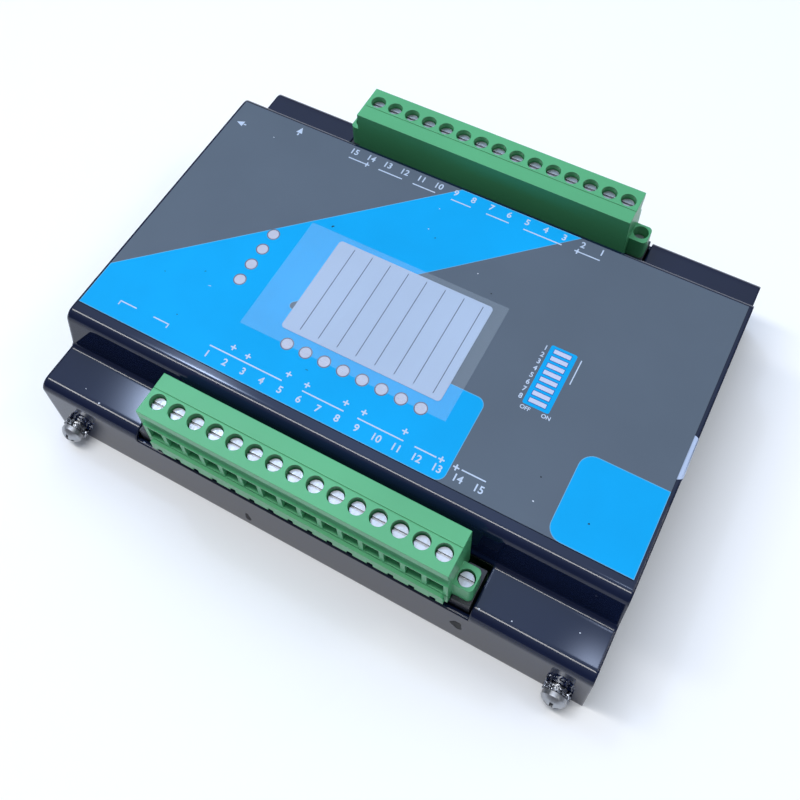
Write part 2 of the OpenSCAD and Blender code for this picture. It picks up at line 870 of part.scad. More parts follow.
module header(side) {
    at_row(side)
        difference() {
            header_block();
            block(
                tongue_l + 2 * tongue_gap, header_d - 2 * header_wall,
                board_top + header_floor, seat_z + cut
            );
            at_poles() block(pin_w, pin_w, board_top - cut, seat_z);
            at_flanges() {
                translate([0, 0, ear_z - insert_h])
                    cylinder(h = insert_h + cut, r = insert_r + thread_gap);
                translate([0, 0, flange_seat_z - flange_screw_l - cut])
                    cylinder(h = flange_screw_l, r = flange_screw_r + screw_clearance);
            }
        }
}

module front_header() { color([0.08, 0.085, 0.09]) header(front); }
module rear_header() { color([0.08, 0.085, 0.09]) header(rear); }

module header_pins(side) {
    color([0.82, 0.82, 0.78])
        at_row(side)
            at_poles() block(pin_w, pin_w, board_bottom - pin_tail, seat_z - pin_tip);
}

module front_header_pins() { header_pins(front); }
module rear_header_pins() { header_pins(rear); }

module thread_inserts(side) {
    color([0.78, 0.65, 0.32])
        at_row(side)
            at_flanges()
                translate([0, 0, ear_z - insert_h])
                    difference() {
                        cylinder(h = insert_h, r = insert_r);
                        translate([0, 0, -cut])
                            cylinder(h = insert_h + 2 * cut, r = flange_screw_r + thread_gap);
                    }
}

module front_thread_inserts() { thread_inserts(front); }
module rear_thread_inserts() { thread_inserts(rear); }

// Overhanging body with a cove along the wire side, a tongue below and an ear at each end
module plug_body() {
    union() {
        along_x(plug_l)
            difference() {
                translate([-plug_in, lip_z]) square([plug_in + plug_out, plug_h - plug_lift]);
                translate([plug_out - cove_depth + cove_r, plug_top - cove_lip - cove_h / 2])
                    circle(cove_r);
                translate([plug_out - sill_groove_depth, groove_z])
                    square([sill_groove_depth + cut, sill_groove]);
                translate([-seam_in - seam_w / 2, plug_top - seam_w]) square([seam_w, seam_w + cut]);
            }
        block(tongue_l, tongue_d, tongue_bottom, lip_z);
        plug_lip();
        for (s = [-1, 1]) plug_ear(s);
    }
}

// Strip along the foot of the wire side, rounded at its upper ends
module plug_lip() {
    x = plug_l / 2 - lip_in;
    depth = sill_groove_depth + lip_out;
    translate([0, plug_out + lip_out - depth / 2, 0])
        along_y(depth)
            rounded_outline(
                [[-x, lip_z], [x, lip_z], [x, groove_z], [-x, groove_z]],
                [0, 0, lip_r, lip_r]
            );
}

module plug_ear(s) {
    x0 = plug_l / 2 - tongue_in;
    x1 = flange_x + ear_end;
    mirror([s < 0 ? 1 : 0, 0, 0])
        translate([0, flange_out, ear_z])
            linear_extrude(ear_h)
                rounded_outline(
                    [[x0, -ear_in], [x1, -ear_in], [x1, ear_out], [x0, ear_out]],
                    [0, ear_r, ear_r, 0]
                );
}

// Hollows of one pole: screw hole, clamp cell, wire opening, contact shaft and pin entry
module pole_hollows() {
    translate([0, screw_out, head_seat]) cylinder(h = screw_seat + cut, r = screw_hole_r);
    translate([0, screw_out, cell_top - cut])
        cylinder(h = head_seat - cell_top + 2 * cut, r = clamp_screw_r + screw_clearance);
    translate([-cell_w / 2, -cell_in, cell_floor])
        cube([cell_w, cell_in + cell_out, cell_top - cell_floor]);
    translate([-wire_w / 2, cell_out - cut, sill_z]) cube([wire_w, plug_out, wire_h]);
    shaft_w = contact_w + 2 * contact_gap;
    pin_entry = pin_w + 2 * contact_gap;
    block(shaft_w, 2 * cell_in, contact_bottom, cell_floor + cut);
    block(pin_entry, pin_entry, tongue_bottom - cut, contact_bottom + cut);
    translate([lip_notch_x - lip_notch_w / 2, plug_out + lip_out - lip_notch_depth, lip_z - cut])
        cube([lip_notch_w, lip_notch_depth + cut, lip_notch_h + cut]);
}

module terminal_plug(side) {
    color([0.22, 0.56, 0.38])
        at_row(side)
            difference() {
                plug_body();
                at_poles() pole_hollows();
                at_flanges() {
                    translate([0, 0, flange_seat_z]) cylinder(h = flange_seat + cut, r = ear_hole_r);
                    translate([0, 0, ear_z - cut])
                        cylinder(h = ear_h, r = flange_screw_r + screw_clearance);
                }
            }
}

module front_plug() { terminal_plug(front); }
module rear_plug() { terminal_plug(rear); }

// Slot directions left by hand tightening
function slot_turn(i, side) = (i * slot_step + side / 2) % 180;

module clamp_screws(side) {
    color([0.82, 0.84, 0.86])
        at_row(side)
            for (i = [0 : poles - 1])
                translate([(i - (poles - 1) / 2) * pitch, screw_out, head_seat])
                    slotted_screw(
                        clamp_head_r, clamp_head_h, clamp_screw_r,
                        head_seat - strip_top - thread_gap, slot_turn(i, side)
                    );
}

module front_clamp_screws() { clamp_screws(front); }
module rear_clamp_screws() { clamp_screws(rear); }

module clamp_cages(side) {
    color([0.72, 0.73, 0.72])
        at_row(side)
            at_poles()
                translate([0, cage_y, 0])
                    difference() {
                        block(cage_w, cage_d, cage_z, cage_top);
                        block(cage_w - 2 * cage_wall, cage_d + 2 * cut, cage_z + cage_wall, strip_top);
                        translate([0, 0, strip_top - cut])
                            cylinder(h = cage_wall + 2 * cut, r = clamp_screw_r + thread_gap);
                    }
}

module front_clamp_cages() { clamp_cages(front); }
module rear_clamp_cages() { clamp_cages(rear); }

// Contact strip seen from the plug's end: arm through the cage, stem and a fork round the pin
function contact_points() = [
    [-leg_out, contact_bottom],
    [-leg_in, contact_bottom],
    [-leg_in, fork_top],
    [leg_in, fork_top],
    [leg_in, contact_bottom],
    [leg_out, contact_bottom],
    [leg_out, fork_top + contact_t],
    [-leg_in, fork_top + contact_t],
    [-leg_in, strip_top - contact_t],
    [cage_y + cage_d / 2, strip_top - contact_t],
    [cage_y + cage_d / 2, strip_top],
    [-leg_out, strip_top]
];

module contacts(side) {
    color([0.8, 0.78, 0.7])
        at_row(side) at_poles() along_x(contact_w) polygon(contact_points());
}

module front_contacts() { contacts(front); }
module rear_contacts() { contacts(rear); }

module flange_screws(side) {
    lift = side == front ? front_screw_lift : 0;
    color([0.82, 0.84, 0.86])
        at_row(side)
            at_flanges()
                translate([0, 0, flange_seat_z + lift])
                    slotted_screw(
                        flange_head_r, flange_head_h, flange_screw_r, flange_screw_l, slot_turn(1, side)
                    );
}

module front_flange_screws() { flange_screws(front); }
module rear_flange_screws() { flange_screws(rear); }

// Code switch behind the left end wall

module at_slider(i) {
    translate([switch_x, switch_y + ((switches - 1) / 2 - i) * switch_pitch, switch_z]) children();
}

module code_switch_housing() {
    color([0.1, 0.12, 0.2])
        difference() {
            translate([switch_x, switch_y - switch_l / 2, board_top])
                cube([switch_d, switch_l, switch_h]);
            for (i = [0 : switches - 1])
                at_slider(i) {
                    face_w = slider_w + 2 * slider_gap;
                    foot_w = slider_foot_w + 2 * slider_gap;
                    translate([-cut, -face_w / 2, -slider_slot_h / 2])
                        cube([switch_face + 2 * cut, face_w, slider_slot_h]);
                    translate([switch_face, -foot_w / 2, -foot_slot_h / 2])
                        cube([slider_foot_t + 2 * slider_gap, foot_w, foot_slot_h]);
                }
        }
}

// Slider at the lower end of its travel
module code_slider(i) {
    color([0.92, 0.92, 0.9])
        if (i < switches)
            at_slider(i)
                translate([0, 0, -slider_travel / 2]) {
                    translate([-slider_out, -slider_w / 2, -slider_h / 2])
                        cube([slider_out + switch_face + slider_gap * 2, slider_w, slider_h]);
                    translate([switch_face + slider_gap, -slider_foot_w / 2, -slider_foot_h / 2])
                        cube([slider_foot_t, slider_foot_w, slider_foot_h]);
                }
}

module code_slider_1() { code_slider(0); }
module code_slider_2() { code_slider(1); }
module code_slider_3() { code_slider(2); }
module code_slider_4() { code_slider(3); }
module code_slider_5() { code_slider(4); }
module code_slider_6() { code_slider(5); }
module code_slider_7() { code_slider(6); }
module code_slider_8() { code_slider(7); }

// Set button in the rear wall

module set_switch_body() {
    color([0.12, 0.12, 0.13])
        difference() {
            translate([button_x, button_body_y + button_body_d / 2, 0])
                block(button_body_w, button_body_d, board_top, board_top + button_body_h);
            translate([button_x, button_body_y + button_body_d + cut, button_axis_z])
                rotate([90, 0, 0])
                    cylinder(
                        h = button_seat + button_travel + button_guide_gap + cut,
                        r = button_r + button_guide_gap
                    );
        }
}

module set_button() {
    seat_y = button_body_y + button_body_d - button_seat;
    color([0.16, 0.16, 0.17])
        translate([button_x, button_tip_y, button_axis_z])
            rotate([90, 0, 0])
                cylinder(h = button_tip_y - seat_y, r = button_r);
}

// Parts on the board

module trip_relays() {
    color([0.12, 0.13, 0.16])
        for (i = [0 : relays - 1])
            translate([relay_x + i * relay_pitch, relay_y, board_top])
                linear_extrude(relay_h)
                    rounded_outline(
                        [
                            [relay_w / 2, -relay_d / 2], [relay_w / 2, relay_d / 2],
                            [-relay_w / 2, relay_d / 2], [-relay_w / 2, -relay_d / 2]
                        ],
                        [relay_r, relay_r, relay_r, relay_r]
                    );
}

// Closed ferrite frame with a middle leg, standing on the bobbin's foot
module transformer_core() {
    inner_h = core_h - bobbin_h - 2 * core_leg;
    color([0.2, 0.2, 0.21])
        translate([transformer_x, transformer_y, board_top + bobbin_h])
            difference() {
                block(core_w, core_d, 0, core_h - bobbin_h);
                for (s = [-1, 1])
                    translate([s * (core_w - core_leg) / 4, 0, 0])
                        block((core_w - 3 * core_leg) / 2, core_d + 2 * cut, core_leg, core_leg + inner_h);
            }
}

// Foot that carries the core
module transformer_bobbin() {
    color([0.12, 0.12, 0.12])
        translate([transformer_x, transformer_y, board_top]) block(core_w, bobbin_d, 0, bobbin_h);
}

// Round winding about the core's middle leg, filling the core's windows
module transformer_winding() {
    inner_h = core_h - bobbin_h - 2 * core_leg;
    window_w = (core_w - 3 * core_leg) / 2;
    color([0.7, 0.45, 0.2])
        translate([transformer_x, transformer_y, board_top])
            difference() {
                translate([0, 0, bobbin_h + core_leg])
                    intersection() {
                        cylinder(h = inner_h, r = winding_dia / 2);
                        block(core_leg + 2 * window_w, winding_dia, 0, inner_h);
                    }
                block(core_leg, core_d, bobbin_h, core_h);
            }
}

module power_capacitors() {
    color([0.15, 0.16, 0.3])
        for (i = [0 : capacitors - 1])
            translate([capacitor_x + i * capacitor_pitch, capacitor_y, board_top])
                cylinder(h = capacitor_h, r = capacitor_r);
}

module processor_chip() {
    color([0.1, 0.1, 0.1])
        translate([chip_x, chip_y, board_top]) {
            block(chip_w, chip_w, 0, chip_h);
            for (a = [0, 90], i = [0 : leads - 1])
                rotate(a)
                    translate([(i - (leads - 1) / 2) * lead_pitch, 0, 0])
                        block(lead_w, chip_w + 2 * lead_l, 0, lead_w);
        }
}

module input_couplers() {
    color([0.9, 0.9, 0.88])
        for (i = [0 : couplers - 1])
            translate([(i - (couplers - 1) / 2) * coupler_pitch, coupler_y, 0])
                block(coupler_w, coupler_d, board_top, board_top + coupler_h);
}

cover();
base_plate();
cover_screws();
lock_washers();
face_panel();
marking_card();
clear_film();
light_guides();
main_board();
board_standoffs();
board_screws();
indicator_lamps();
front_header();
rear_header();
front_header_pins();
rear_header_pins();
front_thread_inserts();
rear_thread_inserts();
front_plug();
rear_plug();
front_clamp_screws();
rear_clamp_screws();
front_clamp_cages();
rear_clamp_cages();
front_contacts();
rear_contacts();
front_flange_screws();
rear_flange_screws();
code_switch_housing();
code_slider_1();
code_slider_2();
code_slider_3();
code_slider_4();
code_slider_5();
code_slider_6();
code_slider_7();
code_slider_8();
set_switch_body();
set_button();
trip_relays();
transformer_core();
transformer_bobbin();
transformer_winding();
power_capacitors();
processor_chip();
input_couplers();
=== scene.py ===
"""Looks of the protection relay: finishes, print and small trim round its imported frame."""
import json
import math

import bpy
from mathutils import Euler, Matrix, Vector


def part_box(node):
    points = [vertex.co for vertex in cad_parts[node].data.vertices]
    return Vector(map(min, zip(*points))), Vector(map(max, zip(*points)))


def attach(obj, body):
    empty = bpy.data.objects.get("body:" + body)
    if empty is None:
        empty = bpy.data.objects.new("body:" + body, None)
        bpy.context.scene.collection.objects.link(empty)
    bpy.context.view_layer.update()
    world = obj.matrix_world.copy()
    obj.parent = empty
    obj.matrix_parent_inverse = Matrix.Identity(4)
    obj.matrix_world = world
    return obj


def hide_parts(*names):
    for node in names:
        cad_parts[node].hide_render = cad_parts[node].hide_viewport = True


MM = 0.001

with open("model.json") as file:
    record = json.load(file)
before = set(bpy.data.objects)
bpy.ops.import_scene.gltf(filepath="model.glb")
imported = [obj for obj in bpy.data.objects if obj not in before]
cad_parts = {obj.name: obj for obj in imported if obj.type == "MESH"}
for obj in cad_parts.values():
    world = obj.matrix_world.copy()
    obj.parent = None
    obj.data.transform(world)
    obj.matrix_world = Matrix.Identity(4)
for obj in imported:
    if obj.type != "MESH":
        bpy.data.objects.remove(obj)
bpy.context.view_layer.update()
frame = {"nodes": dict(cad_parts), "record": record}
nodes = frame["nodes"]


# Colours and shader nodes

def srgb(red, green, blue):
    """Linear colour of an 8-bit screen colour."""
    def linear(value):
        share = value / 255
        return share / 12.92 if share <= 0.04045 else ((share + 0.055) / 1.055) ** 2.4
    return (linear(red), linear(green), linear(blue), 1.0)


def scaled(colour, factor):
    return (colour[0] * factor, colour[1] * factor, colour[2] * factor, 1.0)


def add_node(tree, kind, **values):
    node = tree.nodes.new(kind)
    for name, value in values.items():
        setattr(node, name, value)
    return node


def noise(tree, place, scale, detail=3.0, stretch=None):
    """Noise over the object's own coordinates, drawn out by a stretch along X, Y and Z."""
    if stretch:
        mapping = add_node(tree, "ShaderNodeMapping")
        mapping.inputs["Scale"].default_value = stretch
        tree.links.new(place, mapping.inputs["Vector"])
        place = mapping.outputs["Vector"]
    node = add_node(tree, "ShaderNodeTexNoise")
    node.inputs["Scale"].default_value = scale
    node.inputs["Detail"].default_value = detail
    tree.links.new(place, node.inputs["Vector"])
    return node.outputs["Fac"]


NOISE_LOW = 0.3
NOISE_HIGH = 0.7


def spread(tree, value, low, high):
    """Maps noise from its usual range to another one."""
    node = add_node(tree, "ShaderNodeMapRange")
    node.inputs["From Min"].default_value = NOISE_LOW
    node.inputs["From Max"].default_value = NOISE_HIGH
    node.inputs["To Min"].default_value = low
    node.inputs["To Max"].default_value = high
    tree.links.new(value, node.inputs["Value"])
    return node.outputs["Result"]


def two_tone(tree, value, first, second):
    """Goes from one colour to another over the usual range of noise."""
    ramp = add_node(tree, "ShaderNodeValToRGB")
    low, high = ramp.color_ramp.elements
    low.position = NOISE_LOW
    low.color = first
    high.position = NOISE_HIGH
    high.color = second
    tree.links.new(value, ramp.inputs["Fac"])
    return ramp.outputs["Color"]


EDGE_SAMPLES = 16


def finish(
    name, colour, roughness, metallic=0.0, tone=0.08, dapple=40.0, grain=900.0,
    rough_swing=0.05, bump=0.0, depth=0.05, edge=0.0, stretch=None, specular=0.5, coat=0.0,
):
    """Mottled colour, uneven gloss, fine bump and edges softened by a radius in mm."""
    material = bpy.data.materials.new(name)
    material.use_nodes = True
    tree = material.node_tree
    shader = tree.nodes["Principled BSDF"]
    shader.inputs["Metallic"].default_value = metallic
    shader.inputs["Specular IOR Level"].default_value = specular
    shader.inputs["Coat Weight"].default_value = coat
    place = add_node(tree, "ShaderNodeTexCoord").outputs["Object"]
    coarse = noise(tree, place, dapple)
    fine = noise(tree, place, grain, stretch=stretch)
    shades = two_tone(tree, coarse, scaled(colour, 1 - tone), scaled(colour, 1 + tone))
    tree.links.new(shades, shader.inputs["Base Color"])
    gloss = spread(tree, fine, roughness - rough_swing, roughness + rough_swing)
    tree.links.new(gloss, shader.inputs["Roughness"])
    normal = None
    if edge:
        softened = add_node(tree, "ShaderNodeBevel", samples=EDGE_SAMPLES)
        softened.inputs["Radius"].default_value = edge * MM
        normal = softened.outputs["Normal"]
    if bump:
        relief = add_node(tree, "ShaderNodeBump")
        relief.inputs["Strength"].default_value = bump
        relief.inputs["Distance"].default_value = depth * MM
        tree.links.new(fine, relief.inputs["Height"])
        if normal:
            tree.links.new(normal, relief.inputs["Normal"])
        normal = relief.outputs["Normal"]
    if normal:
        tree.links.new(normal, shader.inputs["Normal"])
        tree.links.new(normal, shader.inputs["Coat Normal"])
    return material


# Finish of each slot of the record

LABEL_GREY = srgb(83, 95, 109)
LABEL_BLUE = srgb(10, 159, 224)
LABEL_RIM = srgb(96, 166, 208)
PRINT_WHITE = srgb(182, 198, 220)
BRUSHED = (1.0, 0.08, 1.0)
WOUND = (0.05, 0.05, 1.0)
FILM_ALPHA = 0.055

LOOKS = {
    # Gloss black paint under a clear coat; the navy tint of its base is painted reflection of a
    # cool sky on the ledges, added to the coat's own reflection.
    "case_black": dict(
        colour=srgb(17, 26, 52), roughness=0.3, tone=0.12, grain=160.0, bump=0.05, depth=0.01,
        edge=0.9, specular=0.0, coat=0.7,
    ),
    "screw_steel": dict(
        colour=srgb(168, 170, 174), roughness=0.4, metallic=1.0, grain=3200.0, rough_swing=0.12,
        bump=0.2, depth=0.01, edge=0.08, stretch=BRUSHED,
    ),
    "washer_steel": dict(
        colour=srgb(206, 209, 215), roughness=0.24, metallic=1.0, grain=3000.0, rough_swing=0.06,
    ),
    "panel_film": dict(
        colour=LABEL_GREY, roughness=0.42, tone=0.04, grain=3500.0, bump=0.1, specular=0.2,
    ),
    "card_white": dict(
        colour=srgb(162, 179, 205), roughness=0.55, tone=0.03, grain=3000.0, bump=0.06,
        specular=0.3,
    ),
    "guide_clear": dict(
        colour=srgb(178, 181, 198), roughness=0.35, tone=0.04, dapple=600.0, grain=1500.0,
    ),
    "board_green": dict(colour=srgb(34, 92, 58), roughness=0.4, tone=0.15),
    "brass": dict(colour=srgb(206, 172, 96), roughness=0.3, metallic=1.0, bump=0.08),
    "lamp_pale": dict(colour=srgb(228, 226, 200), roughness=0.3),
    "header_black": dict(
        colour=srgb(24, 27, 38), roughness=0.4, grain=2500.0, bump=0.1, edge=0.12,
    ),
    "contact_tin": dict(colour=srgb(196, 196, 188), roughness=0.36, metallic=1.0, bump=0.08),
    "plug_green": dict(
        colour=srgb(80, 166, 114), roughness=0.36, tone=0.05, grain=2800.0, rough_swing=0.06,
        bump=0.08, edge=0.2, specular=0.4,
    ),
    "switch_blue": dict(colour=srgb(40, 72, 150), roughness=0.4, bump=0.06, edge=0.08),
    "slider_white": dict(colour=srgb(236, 236, 230), roughness=0.4, bump=0.05, edge=0.08),
    "button_black": dict(colour=srgb(34, 34, 36), roughness=0.4, bump=0.06, edge=0.1),
    "relay_plastic": dict(colour=srgb(36, 40, 50), roughness=0.4, bump=0.06, edge=0.1),
    "ferrite": dict(colour=srgb(60, 60, 64), roughness=0.6, tone=0.15, bump=0.15),
    "copper": dict(
        colour=srgb(196, 120, 66), roughness=0.35, metallic=1.0, grain=1800.0, bump=0.2,
        stretch=WOUND,
    ),
    "capacitor_sleeve": dict(colour=srgb(30, 36, 84), roughness=0.25, bump=0.04),
    "chip_black": dict(colour=srgb(28, 28, 30), roughness=0.5, bump=0.1),
    "coupler_white": dict(colour=srgb(226, 226, 220), roughness=0.45, bump=0.06),
    "film_clear": dict(
        colour=srgb(222, 240, 255), roughness=0.2, tone=0.02, rough_swing=0.04, specular=0.3,
    ),
}

finishes = {slot: finish(slot, **look) for slot, look in LOOKS.items()}
film_shader = finishes["film_clear"].node_tree.nodes["Principled BSDF"]
film_shader.inputs["Alpha"].default_value = FILM_ALPHA

blue_ink = finish("blue_ink", LABEL_BLUE, 0.45, tone=0.05, grain=3500.0, bump=0.1, specular=0.06)
rim_ink = finish("rim_ink", LABEL_RIM, 0.45, tone=0.06, dapple=300.0, specular=0.1)
white_ink = finish("white_ink", PRINT_WHITE, 0.45, tone=0.05, dapple=300.0, specular=0.2)
bar_ink = finish("bar_ink", srgb(186, 194, 220), 0.45, tone=0.03, dapple=300.0, specular=0.2)
frame_ink = finish("frame_ink", srgb(30, 96, 168), 0.45, tone=0.06, dapple=300.0, specular=0.2)
rule_ink = finish("rule_ink", srgb(74, 84, 108), 0.5, tone=0.1, dapple=300.0, specular=0.2)
ring_ink = finish("ring_ink", srgb(104, 108, 126), 0.5, tone=0.12, dapple=500.0, specular=0.2)
seal_paper = finish("seal_paper", srgb(170, 186, 214), 0.4, tone=0.04, dapple=200.0, bump=0.08)
mark_ink = finish("mark_ink", srgb(16, 17, 24), 0.6, tone=0.2, dapple=900.0, specular=0.2)
dust = finish("dust", srgb(206, 214, 228), 0.7, tone=0.1, dapple=900.0)

for part in frame["record"]["subparts"]:
    node = nodes[part["node"]]
    node.data.materials.clear()
    node.data.materials.append(finishes[part["material_slot"]])


# Flat print

def add_piece(name, mesh, material, body="case"):
    piece = bpy.data.objects.new(name, mesh)
    bpy.context.scene.collection.objects.link(piece)
    mesh.materials.clear()
    mesh.materials.append(material)
    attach(piece, body)
    return piece


def mesh_of(curve):
    """Mesh of a filled curve or text, which is then dropped."""
    drawn = bpy.data.objects.new(curve.name, curve)
    bpy.context.scene.collection.objects.link(drawn)
    bpy.context.view_layer.update()
    graph = bpy.context.evaluated_depsgraph_get()
    mesh = bpy.data.meshes.new_from_object(drawn.evaluated_get(graph), depsgraph=graph)
    bpy.data.objects.remove(drawn)
    return mesh


def flat_mesh(name, loops, bottom, top):
    """Thin plate between two heights in mm; a loop inside another one is a hole."""
    curve = bpy.data.curves.new(name, "CURVE")
    curve.dimensions = "2D"
    curve.fill_mode = "BOTH"
    curve.extrude = (top - bottom) / 2 * MM
    for loop in loops:
        spline = curve.splines.new("POLY")
        spline.points.add(len(loop) - 1)
        spline.use_cyclic_u = True
        for point, (x, y) in zip(spline.points, loop):
            point.co = (x * MM, y * MM, 0, 1)
    mesh = mesh_of(curve)
    for vertex in mesh.vertices:
        vertex.co.z += (bottom + top) / 2 * MM
    return mesh


def flat_piece(name, loops, bottom, top, material):
    return add_piece(name, flat_mesh(name, loops, bottom, top), material)


def wall_piece(name, loops, material, wall_y, thickness):
    """Thin plate on the front wall; its loops are given in X and Z."""
    mesh = flat_mesh(name, loops, 0, thickness)
    for vertex in mesh.vertices:
        x, z, out = vertex.co
        vertex.co = (x, wall_y * MM - out, z)
    return add_piece(name, mesh, material)


def rounded(points, radii, steps=8):
    """Outline drawn anticlockwise with true arcs at its corners."""
    outline = []
    for i, (corner, radius) in enumerate(zip(points, radii)):
        p = Vector(corner)
        before = (Vector(points[i - 1]) - p).normalized()
        after = (Vector(points[(i + 1) % len(points)]) - p).normalized()
        if not radius:
            outline.append(tuple(p))
            continue
        half = before.angle(after) / 2
        middle = p + (before + after).normalized() * radius / math.sin(half)
        start = p + before * radius / math.tan(half) - middle
        end = p + after * radius / math.tan(half) - middle
        first = math.atan2(start.y, start.x)
        sweep = (math.atan2(end.y, end.x) - first + math.pi) % (2 * math.pi) - math.pi
        for k in range(steps + 1):
            angle = first + sweep * k / steps
            x = middle.x + radius * math.cos(angle)
            y = middle.y + radius * math.sin(angle)
            outline.append((x, y))
    return outline


def inset(outline, distance):
    """Outline drawn anticlockwise, moved inwards."""
    moved = []
    for i, corner in enumerate(outline):
        p = Vector(corner)
        before = (p - Vector(outline[i - 1])).normalized()
        after = (Vector(outline[(i + 1) % len(outline)]) - p).normalized()
        inward = Vector((-before.y - after.y, before.x + after.x)) / (1 + before.dot(after))
        moved.append(tuple(p + inward * distance))
    return moved


def box_loop(x0, y0, x1, y1, radius=0.0):
    corners = [(x0, y0), (x1, y0), (x1, y1), (x0, y1)]
    return rounded(corners, [radius] * 4)


def circle_loop(x, y, radius, steps=40):
    turns = [2 * math.pi * k / steps for k in range(steps)]
    return [(x + radius * math.cos(t), y + radius * math.sin(t)) for t in turns]


def blob_loop(x, y, width, height, turn=0.0, steps=24):
    """Small spot; the ripples of its outline follow from its place."""
    points = []
    across, up = math.cos(turn), math.sin(turn)
    for k in range(steps):
        angle = 2 * math.pi * k / steps
        reach = 1 + 0.14 * math.sin(3 * angle + 5 * x) + 0.07 * math.sin(5 * angle + 3 * y)
        u = reach * width / 2 * math.cos(angle)
        v = reach * height / 2 * math.sin(angle)
        points.append((x + u * across - v * up, y + u * up + v * across))
    return points


def plus_loop(x, y, reach=0.75, half=0.18):
    return [
        (x - half, y - reach), (x + half, y - reach), (x + half, y - half), (x + reach, y - half),
        (x + reach, y + half), (x + half, y + half), (x + half, y + reach), (x - half, y + reach),
        (x - half, y + half), (x - reach, y + half), (x - reach, y - half), (x - half, y - half),
    ]


# Share of a text's size by which its strokes are widened
TEXT_SWELL = 0.02


def words_piece(name, entries, size, height, thickness, material):
    """Plain numbers and switch marks as one piece; each entry is (text, x, y) in mm."""
    meshes = []
    for text, x, y in entries:
        curve = bpy.data.curves.new(name, "FONT")
        curve.body = text
        curve.size = size * MM
        curve.align_x = "CENTER"
        curve.align_y = "CENTER"
        curve.extrude = thickness / 2 * MM
        curve.offset = TEXT_SWELL * size * MM
        mesh = mesh_of(curve)
        for vertex in mesh.vertices:
            vertex.co += Vector((x * MM, y * MM, (height + thickness / 2) * MM))
        meshes.append(mesh)
    points, faces = [], []
    for mesh in meshes:
        first = len(points)
        points += [tuple(v.co) for v in mesh.vertices]
        faces += [[first + i for i in p.vertices] for p in mesh.polygons]
        bpy.data.meshes.remove(mesh)
    joined = bpy.data.meshes.new(name)
    joined.from_pydata(points, [], faces)
    return add_piece(name, joined, material)


# Boxes of the nodes that carry the trim, in mm, and the thickness of the print

cover_low, cover_high = (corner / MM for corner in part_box("cover"))
panel_low, panel_high = (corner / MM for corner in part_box("face_panel"))
card_low, card_high = (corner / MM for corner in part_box("marking_card"))
film_low, film_high = (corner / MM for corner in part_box("clear_film"))
WALL_Y = cover_low.y
PANEL_Z = panel_high.z
BLUE_T = 0.02
INK_T = 0.035


# Indicator lights: first place of the column and of the row

COLUMN_LIGHTS = 4
ROW_LIGHTS = 8
LIGHT_PITCH = 5.06
LIGHT_HOLE_R = 1.65
LIGHT_COLUMN = (-40.25, 3.2)
LIGHT_ROW = (-20.35, -21.9)

lights = [(LIGHT_COLUMN[0], LIGHT_COLUMN[1] - i * LIGHT_PITCH) for i in range(COLUMN_LIGHTS)]
lights += [(LIGHT_ROW[0] + i * LIGHT_PITCH, LIGHT_ROW[1]) for i in range(ROW_LIGHTS)]
light_holes = [circle_loop(x, y, LIGHT_HOLE_R) for x, y in lights]


# Blue print: a band along the front with a slanted arm to the rear, and a square at the right

RIM_W = 0.14
BAND_RIGHT = 27.3
BAND_STEP = (-27.1, -13.2)
BAND_REAR_LEFT = -4.7
BAND_REAR_RIGHT = 28.5
BAND_LEFT_Y = -22.9
BAND_R = 2.2
BAND_STEP_R = 1.0
SQUARE_LEFT = 51.3
SQUARE_REAR = -14.2
SQUARE_R = 3.4


def blue_fields():
    """Blue print with a thin paler rim."""
    step_x, step_y = BAND_STEP
    band = [
        (panel_low.x, panel_low.y), (BAND_RIGHT, panel_low.y), (BAND_RIGHT, step_y),
        (step_x, step_y), (BAND_REAR_RIGHT, panel_high.y), (BAND_REAR_LEFT, panel_high.y),
        (panel_low.x, BAND_LEFT_Y),
    ]
    square = [
        (SQUARE_LEFT, panel_low.y), (panel_high.x, panel_low.y), (panel_high.x, SQUARE_REAR),
        (SQUARE_LEFT, SQUARE_REAR),
    ]
    fields = [
        ("blue_band", rounded(band, [0, BAND_R, BAND_R, BAND_STEP_R, 0, 0, 0]), light_holes),
        ("blue_square", rounded(square, [SQUARE_R, 0, 0, SQUARE_R]), []),
    ]
    for name, outline, holes in fields:
        inner = inset(outline, RIM_W)
        flat_piece(name + "_rim", [outline, inner], PANEL_Z, PANEL_Z + BLUE_T, rim_ink)
        flat_piece(name, [inner, *holes], PANEL_Z, PANEL_Z + BLUE_T, blue_ink)


# White print: lines as their two ends along X, strokes as two opposite corners

LINE_HALF = 0.16
REAR_LINE_Y = 33.75
REAR_LINES = [
    (-36.2, -31.4), (-27.2, -20.2), (-17.05, -10.5), (-5.9, -0.3), (4.05, 10.4), (14.4, 24.8),
    (29.7, 34.9),
]
FRONT_LINE_Y = -30.65
FRONT_LINES = [(-36.2, -16.3), (-10.8, 0.1), (3.7, 15.4), (18.2, 23.6), (29.75, 35.55)]
PLUS_SIGNS = [
    (-30.75, 33.75), (29.0, 33.75), (-30.9, -28.6), (-26.6, -29.0), (-15.7, -28.5), (-10.5, -28.9),
    (-0.4, -28.6), (4.4, -28.75), (14.7, -28.5), (24.8, -30.6), (28.45, -30.7),
]
LEFT_ARROW = [(-69.6, 30.6), (-67.6, 29.7), (-67.6, 31.5)]
REAR_ARROW = [(-53.3, 34.9), (-51.5, 34.9), (-52.4, 36.9)]
ARROW_STEMS = [(-67.4, 30.4, -66.7, 30.8), (-52.6, 34.0, -52.2, 34.7)]
BRACKET = [
    (-62.45, -30.75, -57.6, -30.45), (-52.6, -30.75, -48.0, -30.45),
    (-62.45, -31.7, -62.15, -30.8), (-48.3, -31.7, -48.0, -30.8),
]


def ink_piece(name, loops):
    flat_piece(name, loops, PANEL_Z, PANEL_Z + INK_T, white_ink)


def line_loops(lines, y):
    return [box_loop(x0, y - LINE_HALF, x1, y + LINE_HALF) for x0, x1 in lines]


